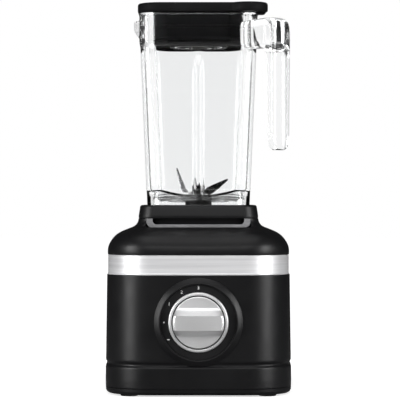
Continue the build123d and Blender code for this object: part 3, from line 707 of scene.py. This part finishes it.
class BLENDER_OT_jar(bpy.types.Operator):
    """Clear jar: tapered square vessel with thick cut inner corners, an upright rib inside
    each wall, a spout at the rear left corner, and a free-ended handle at the front right."""
    bl_idname = "blender_maker.jar"
    bl_label = "Jar"

    def execute(self, context):
        jar = context.scene.blender_jar
        theta = round_angles(720)
        rim_soft, foot_soft = 1.0 * MM, 0.9 * MM
        z_outer = np.linspace(JAR_LOW[2] + 0.8 * MM, JAR_HIGH[2] - rim_soft, 200)[:, None]
        foot_share = 1 - smooth_step(z_outer, 200 * MM, 214 * MM)
        corner = jar.corner + (jar.foot_corner - jar.corner) * foot_share
        outer = square_reach(theta, jar_half(z_outer), corner) + spout_bulge(theta, z_outer)

        # the inner wall goes down from the rim to the edge of the bowl, with its ribs
        bowl_edge = chamfer_reach(theta, jar_half(206 * MM) - jar.wall, jar.chamfer, soft=4 * MM)
        share = np.linspace(0, 1, 180)[:, None]
        z_inner = (JAR_HIGH[2] - rim_soft) * (1 - share) + bowl_height(bowl_edge) * share
        inner_half = jar_half(z_inner) - jar.wall
        inner = chamfer_reach(theta, inner_half, jar.chamfer) + spout_bulge(theta, z_inner)
        sideways = inner_half * np.tan(((theta + pi / 4) % (pi / 2)) - pi / 4)
        rib = jar.rib * np.exp(-(sideways / (4.2 * MM)) ** 4)
        inner = inner - rib * (1 - smooth_step(z_inner, 335 * MM, 350 * MM))

        inwards = np.linspace(0, 1, 40)[1:, None]
        bowl = HUB_HOLE + (inner[-1:] - HUB_HOLE) * (1 - inwards)
        skirt_in = square_reach(theta, 48.2 * MM, 12 * MM)
        skirt_out = square_reach(theta, 51.8 * MM, jar.foot_corner - foot_soft)
        outwards = np.linspace(0, 1, 60)[:, None]
        under = HUB_HOLE + (skirt_in - HUB_HOLE) * outwards
        ripple = 0.3 * MM * np.cos(2 * pi * under / (6.5 * MM)) * np.sin(pi * outwards)

        rim_z = np.full_like(theta, JAR_HIGH[2])
        foot_z = np.full_like(theta, JAR_LOW[2])
        rim_out = square_reach(theta, JAR_TAPER[-1, 1] - 0.9 * MM, jar.corner)
        rim_in = chamfer_reach(theta, JAR_TAPER[-1, 1] - jar.wall + 0.7 * MM, jar.chamfer)
        lean = spout_bulge(theta, rim_z)
        reach = np.concatenate([under, skirt_in + 0.2 * MM, skirt_out, outer, rim_out + lean, rim_in + lean,
                                inner, bowl])
        z = np.concatenate([bowl_height(under) - FLOOR_THICK + ripple, foot_z, foot_z, z_outer + 0 * theta,
                            rim_z, rim_z, z_inner, bowl_height(bowl)])
        hoop("jar_vessel", from_reach(reach, z, theta), "jar", "clear_jar", ["jar", "pour_spout"], sharp=50)
        self.handle()
        return {"FINISHED"}

    def handle(self):
        """Handle: a closed section swept from the jar's corner round the elbow to the free tip.
        Each section spans from an inner to an outer point of the side view, and its edge is
        |p|^n + |t|^n = 1 with n = 4.4, t running across the width."""
        share = np.linspace(0, 1, 190)
        inner_r, inner_z, outer_r, outer_z, half_wide = (
            spread_over(column, share, HANDLE_SIDE)[:, None] for column in range(1, 6))
        theta = round_angles(120)
        power = 2 / 4.4
        p = np.sign(np.cos(theta)) * np.abs(np.cos(theta)) ** power
        t = np.sign(np.sin(theta)) * np.abs(np.sin(theta)) ** power
        radial = (inner_r + outer_r) / 2 + p * (outer_r - inner_r) / 2
        z = (inner_z + outer_z) / 2 + p * (outer_z - inner_z) / 2
        points = about_diagonal(np.stack([radial, half_wide * t, z], axis=-1))
        capped("jar_grip", points, "jar", "clear_jar", ["jar_handle"], sharp=60, material="clear_grip")


class BLENDER_OT_hub(bpy.types.Operator):
    """Blade carrier: a domed black hub on a thin flange, and the gasket under the jar floor."""
    bl_idname = "blender_maker.hub"
    bl_label = "Blade hub"

    def execute(self, context):
        foot, top = low("blade_housing")[2] / MM, high("blade_housing")[2] / MM
        hub = rounded_path([
            (4.3, foot, 0), (13.4, foot, 0.6), (13.4, 190.0, 0), (24.0, 190.0, 0.4), (24.0, 190.7, 0.3),
            (13.9, 190.7, 0.4), (13.7, 201.0, 1.0), (11.5, top - 0.6, 1.2), (9.2, top, 1.0), (4.3, top, 0),
        ], steps=7, closed=True)
        hoop("blade_hub", turned(hub), "jar", "inner_black", ["blade_housing"])
        ring = rounded_path([(15.0, 190.8, 0.2), (23.5, 190.8, 0.2), (23.5, 191.3, 0.2), (15.0, 191.3, 0.2)],
                            closed=True)
        hoop("hub_gasket", turned(ring), "jar", "grey_rubber", ["jar_gasket"])
        return {"FINISHED"}


class BLENDER_OT_blades(bpy.types.Operator):
    """Blades: two pairs of bent steel wings, ground to an edge and a point."""
    bl_idname = "blender_maker.blades"
    bl_label = "Blades"

    def wing(self, turn, start, lift, reach, root, level, twist):
        """One wing: a six-sided section carried out along the steel, level up to the bend and
        climbing at the lift beyond it. Half its width is root / 2 (1 - 0.86 s^1.6), where s runs
        from 0 at the root to 1 at the point. The twist grows over the first 6 mm."""
        turn, lift, twist = radians(turn), radians(lift), radians(twist)
        share = np.array([0, 0.12, 0.25, 0.4, 0.55, 0.8, 0.93, 1.0])[:, None]
        along = BLADE_ROOT + (start + reach - BLADE_ROOT) * share
        bend = np.maximum(along - start, 0)
        section = np.array([(-1, 0.05), (-0.2, 0.75), (1, 0.5), (1, -0.5), (-0.2, -0.75), (-1, -0.05)])
        across = root / 2 * (1 - 0.86 * share ** 1.6) * section[:, 0]
        thick = section[:, 1] * np.where(share < 1, 1.0, 0.6)
        twisted = across * np.sin(twist) * np.clip((along - BLADE_ROOT) / 6.0, 0, 1)
        out = np.minimum(along, start) + bend * np.cos(lift) - np.sin(lift) * thick
        z = level + bend * np.sin(lift) + twisted + np.cos(lift) * thick
        x, y = np.cos(turn) * out - np.sin(turn) * across, np.sin(turn) * out + np.cos(turn) * across
        return np.stack([x, y, z], axis=-1) * MM

    def execute(self, context):
        for node, wings in BLADE_WINGS.items():
            for number, measures in enumerate(wings, start=1):
                replaced = [node] if number == 1 else ()
                capped(f"{node}_{number}", self.wing(*measures), "blades", "blade_steel", replaced, sharp=20)
            level = wings[0][5]
            centre = rounded_path([(3.1, level - 0.7, 0), (8.3, level - 0.7, 0.2), (8.3, level + 0.7, 0.2),
                                   (3.1, level + 0.7, 0)], steps=3, closed=True)
            hoop(f"{node}_eye", turned(centre, 64), "blades", "blade_steel")
        return {"FINISHED"}


class BLENDER_OT_collar(bpy.types.Operator):
    """Black collar that holds the foot of the jar, with soft outer edges."""
    bl_idname = "blender_maker.collar"
    bl_label = "Jar collar"

    def execute(self, context):
        half = COLLAR_HIGH[0] / MM
        foot, top = 179.5, COLLAR_HIGH[2] / MM
        spigot = COLLAR_LOW[2] / MM
        corners = [
            (49.0, spigot, 0), (53.0, spigot, 0.8), (53.0, foot, 0.3), (half - 0.1, foot, 0.9),
            (half, foot + 2.5, 1.0), (half - 1.7, top - 0.4, 2.0), (half - 6.0, top, 1.2),
            (half - 8.3, top - 0.8, 0.6), (half - 8.6, top - 3.4, 0), (16.0, top - 3.4, 0),
            (16.0, top - 7.0, 0), (49.0, top - 7.0, 0),
        ]
        path = filled(rounded_path(corners, steps=7, closed=True), 4 * MM)
        corner = np.maximum(17.5 * MM - (COLLAR_HIGH[0] - path[:, :1]) * 0.35, 9 * MM)
        hoop("collar_ring", carried(path, corner), "jar", "body_black", ["jar_collar"])
        return {"FINISHED"}


# ---- lid -----------------------------------------------------------------------------------
def lid_reach(theta, half, corner, grow=0.0):
    """Distance from the axis to the lid's edge: a rounded square joined to a round-ended tab
    over the handle corner by a soft maximum."""
    square = square_reach(theta, half + grow, corner + grow)
    off = (theta + pi / 4 + pi) % (2 * pi) - pi
    end_r, end_at = 19.6 * MM + grow, 73 * MM
    sine = np.abs(np.sin(off))
    round_end = end_at * np.cos(off) + np.sqrt(np.maximum(end_r ** 2 - (end_at * sine) ** 2, 0))
    side = end_r / np.maximum(sine, 1e-4)
    tab = np.where(side * np.cos(off) > end_at, round_end, side)
    tab = np.where(np.abs(off) < pi / 2, tab, 0)
    gap = square - tab
    return (square + tab + np.sqrt(gap ** 2 + (1.5 * MM) ** 2)) / 2 - 0.3 * MM


class BLENDER_OT_lid(bpy.types.Operator):
    """Black lid: soft-edged plate with a tab, a plug that goes down into the jar, and the well
    that holds the centre cap."""
    bl_idname = "blender_maker.lid"
    bl_label = "Lid"

    def execute(self, context):
        jar = context.scene.blender_jar
        theta = round_angles(720)
        top, under, foot = LID_HIGH[2] / MM, 390.5, PLUG_LOW[2] / MM
        half, corner = 62.6 * MM, 24 * MM
        # rows hold a reach and a height: growth of the edge, radius of the well, half of the plug
        edge_rows = np.array([(-3.2, under), (-0.9, under), (-0.1, under + 0.9), (0.0, under + 3),
                              (0.0, top - 2.6), (-0.35, top - 1.3), (-1.2, top - 0.35), (-2.6, top),
                              (-8.0, top)]) * MM
        well_rows = np.array([(31.9, top), (31.3, top - 0.5), (31.3, 397.2), (27.0, 397.2), (27.0, foot),
                              (30.0, foot), (30.0, 396.4)]) * MM
        plug_rows = np.array([(51.0, 396.4), (50.4, foot), (53.6, foot), (54.2, foot + 0.9), (54.6, 375),
                              (54.9, under)]) * MM
        edge = np.concatenate([lid_reach(theta, half, corner, grow) for grow in edge_rows[:, 0]])
        well = well_rows[:, :1] + 0 * theta
        plug = chamfer_reach(theta, plug_rows[:, :1], 22 * MM)
        z = np.concatenate([edge_rows, well_rows, plug_rows])[:, 1:]
        reach = np.concatenate([edge, well, plug])
        points = from_reach(reach, z, theta)
        hoop("lid_body", points, "lid", "black_rubber", ["lid", "lid_plug", "lid_well"], sharp=40)

        # lug under the tab: level, depth and width of each row
        lug_rows = np.array([(390.8, 6.0, 5.5), (389.4, 5.2, 5.0), (388.2, 4.2, 4.2), (387.6, 3.0, 3.2)]) * MM
        level, deep, wide = (lug_rows[:, [k]] for k in range(3))
        turn = round_angles(96)
        along, across = 81 * MM + deep * np.cos(turn), 9 * MM + wide * np.sin(turn)
        lug = np.stack([along, across, level + 0 * turn], axis=-1)
        capped("tab_hook", about_diagonal(lug), "lid", "black_rubber", sharp=60)

        lowest, highest = low("lid_seals")[2], high("lid_seals")[2]
        half_out = JAR_TAPER[-1, 1] - jar.wall - 0.45 * MM
        inset = np.array([3.0, 0.6, 0.0, 0.0, 0.6, 3.0])[:, None] * MM
        soft = np.array([0, 0, 0.8, -0.8, 0, 0])[:, None] * MM
        for name, bottom, upper in (("seal_lower", lowest, lowest + 3.4 * MM),
                                    ("seal_upper", highest - 3.7 * MM, highest)):
            ring = chamfer_reach(theta, half_out - inset, 25 * MM)
            ring_z = np.repeat([[bottom], [upper]], 3, axis=0) + soft
            replaced = ["lid_seals"] if name == "seal_lower" else ()
            hoop(name, from_reach(ring, ring_z, theta), "lid", "black_rubber", replaced)
        return {"FINISHED"}


class BLENDER_OT_cap(bpy.types.Operator):
    """Clear centre cap: a thin-walled cup turned upside down, with a flange and a grip dish."""
    bl_idname = "blender_maker.cap"
    bl_label = "Centre cap"

    def execute(self, context):
        top, foot = CAP_HIGH[2] / MM, CAP_LOW[2] / MM
        profile = rounded_path([
            (0.3, top - 4.6, 0), (16.0, top - 4.6, 3.0), (20.5, top - 0.4, 1.6), (30.0, top, 1.2),
            (31.0, top - 1.2, 0.6), (31.0, top - 2.5, 0.4), (25.4, top - 2.5, 0.6), (25.2, foot + 0.3, 0.8),
            (23.4, foot, 0.6), (23.2, top - 8.0, 3.0), (0.3, top - 7.4, 0),
        ], steps=7)
        capped("clear_cap", turned(profile), "cap", "clear_jar", ["centre_cap"], sharp=45)
        return {"FINISHED"}


class BLENDER_OT_finishes(bpy.types.Operator):
    """Gives every frame node the finish of its slot."""
    bl_idname = "blender_maker.finishes"
    bl_label = "Finishes"

    def execute(self, context):
        MATERIALS.clear()
        MATERIALS.update(make_materials())
        for part in frame["record"]["subparts"]:
            node = frame["nodes"][part["node"]]
            material = MATERIALS[part["material_slot"]]
            for slot in node.material_slots:
                slot.material = material
        return {"FINISHED"}


class BLENDER_OT_stage(bpy.types.Operator):
    """Camera, a pale floor, a white backdrop and soft studio light."""
    bl_idname = "blender_maker.stage"
    bl_label = "Stage"

    def execute(self, context):
        stage = context.scene.blender_stage
        camera_data = bpy.data.cameras.new("camera")
        camera_data.lens = stage.lens
        camera_data.clip_end = 50
        camera = placed("camera", camera_data)
        aside = 1.6 * MM
        camera.location = (aside, -stage.distance, stage.eye)
        camera.rotation_euler = (pi / 2, 0, 0)
        context.scene.camera = camera
        context.scene.view_settings.view_transform = "Standard"

        floor_path = np.array([(0.02, 0), (0.5, 0), (1.5, 0), (4.0, 0), (9.0, 0)])
        floor = surface("studio_floor", turned(floor_path, 96), cap_start=True)
        floor.data.materials.append(self.pale_floor())
        context.scene.world = self.soft_room(stage.room)

        # name, place, width and height, share of the key light
        lights = [
            ("left_box", (-1.6, -1.0, 0.42), (0.75, 1.4), 3.2),
            ("right_box", (1.6, -1.0, 0.42), (0.7, 1.4), 3.0),
            ("top_box", (0.0, -0.6, 1.9), (1.8, 1.2), 1.0),
            ("front_fill", (0.0, -3.0, 1.7), (2.8, 1.2), 2.6),
        ]
        for name, spot, size, share in lights:
            data = bpy.data.lights.new(name, "AREA")
            data.shape = "RECTANGLE"
            data.size, data.size_y = size
            data.energy = stage.key * share
            lamp = placed(name, data)
            lamp.location = spot
            aim = Vector((0, 0, 0.18)) - Vector(spot)
            lamp.rotation_euler = aim.to_track_quat("-Z", "Y").to_euler()
        return {"FINISHED"}

    def seen_directly(self, nodes, links, vector):
        """1 for rays from the camera, straight or through the clear parts, else 0. Mirror
        bounces inside the clear parts count as clear unless they come straight back."""
        split = nodes.new("ShaderNodeSeparateXYZ")
        links.new(vector, split.inputs["Vector"])
        along = split.outputs["Y"]
        path = nodes.new("ShaderNodeLightPath")

        def combine(operation, first, second, clamp=True):
            node = nodes.new("ShaderNodeMath")
            node.operation = operation
            node.use_clamp = clamp
            for socket, value in zip(node.inputs, (first, second)):
                if isinstance(value, float):
                    socket.default_value = value
                else:
                    links.new(value, socket)
            return node.outputs["Value"]

        inside = combine("GREATER_THAN", path.outputs["Transmission Depth"], 1.5)
        rearwards = combine("MULTIPLY", inside, combine("GREATER_THAN", along, -0.96))
        spared = combine("MULTIPLY", rearwards, 8.0, clamp=False)
        mirrored = combine("SUBTRACT", path.outputs["Glossy Depth"], spared)
        bounced = combine("ADD", path.outputs["Diffuse Depth"], mirrored)
        through = combine("SUBTRACT", path.outputs["Is Transmission Ray"], bounced)
        return combine("MAXIMUM", path.outputs["Is Camera Ray"], through)

    def pale_floor(self):
        """White floor: it takes soft shadow, and is lifted to the backdrop's white."""
        pale = Finish("studio_pale", Roughness=0.9)
        pale.colour(pale.noise(1.5), (0.80, 0.80, 0.80), (0.82, 0.82, 0.82))
        glow, both, choice = pale.add("Emission"), pale.add("AddShader"), pale.add("MixShader")
        dim = pale.add("BsdfDiffuse", Color=(0.28, 0.28, 0.28, 1))
        far = pale.add("VectorMath")
        far.operation = "LENGTH"
        lift = pale.spread(far.outputs["Value"], 0.66, 1.05, start=0.15, end=1.0)
        link = pale.links.new
        link(pale.place, far.inputs[0])
        link(lift, glow.inputs["Strength"])
        link(pale.shader.outputs["BSDF"], both.inputs[0])
        link(glow.outputs["Emission"], both.inputs[1])
        link(self.seen_directly(pale.nodes, pale.links, pale.place), choice.inputs["Fac"])
        link(dim.outputs["BSDF"], choice.inputs[1])
        link(both.outputs["Shader"], choice.inputs[2])
        link(choice.outputs["Shader"], pale.nodes["Material Output"].inputs["Surface"])
        return pale.material

    def soft_room(self, strength):
        """White backdrop all round, with a dimmer room for the light that falls on the object."""
        world = bpy.data.worlds.new("studio")
        world.use_nodes = True
        nodes, links = world.node_tree.nodes, world.node_tree.links
        room = nodes["Background"]
        room.inputs["Color"].default_value = (1, 1, 1, 1)
        room.inputs["Strength"].default_value = strength
        white = nodes.new("ShaderNodeBackground")
        white.inputs["Color"].default_value = (1, 1, 1, 1)
        white.inputs["Strength"].default_value = 1.0
        choice = nodes.new("ShaderNodeMixShader")
        where = nodes.new("ShaderNodeTexCoord")
        links.new(self.seen_directly(nodes, links, where.outputs["Generated"]), choice.inputs["Fac"])
        links.new(room.outputs["Background"], choice.inputs[1])
        links.new(white.outputs["Background"], choice.inputs[2])
        links.new(choice.outputs["Shader"], nodes["World Output"].inputs["Surface"])
        return world


class BLENDER_PT_maker(bpy.types.Panel):
    """Sidebar panel with every piece of the blender."""
    bl_idname = "BLENDER_PT_maker"
    bl_label = "Countertop blender"
    bl_space_type = "VIEW_3D"
    bl_region_type = "UI"
    bl_category = "Blender"

    def draw(self, context):
        for group in ("blender_body", "blender_dial", "blender_jar", "blender_stage"):
            settings = getattr(context.scene, group)
            box = self.layout.box()
            for name in type(settings).__annotations__:
                box.prop(settings, name)
        for operator in OPERATORS:
            self.layout.operator(operator.bl_idname)


SETTINGS = {
    "blender_body": BodySettings,
    "blender_dial": DialSettings,
    "blender_jar": JarSettings,
    "blender_stage": StageSettings,
}
OPERATORS = (
    BLENDER_OT_finishes, BLENDER_OT_body, BLENDER_OT_shoulder, BLENDER_OT_band, BLENDER_OT_dial,
    BLENDER_OT_jar, BLENDER_OT_hub, BLENDER_OT_blades, BLENDER_OT_collar, BLENDER_OT_lid,
    BLENDER_OT_cap, BLENDER_OT_stage,
)


def register():
    for cls in (*SETTINGS.values(), *OPERATORS, BLENDER_PT_maker):
        bpy.utils.register_class(cls)
    for name, cls in SETTINGS.items():
        setattr(bpy.types.Scene, name, PointerProperty(type=cls))


def unregister():
    for name in SETTINGS:
        delattr(bpy.types.Scene, name)
    for cls in reversed((*SETTINGS.values(), *OPERATORS, BLENDER_PT_maker)):
        bpy.utils.unregister_class(cls)


def main():
    register()
    for operator in OPERATORS:
        group, name = operator.bl_idname.split(".")
        getattr(getattr(bpy.ops, group), name)()


if __name__ == "__main__":
    main()
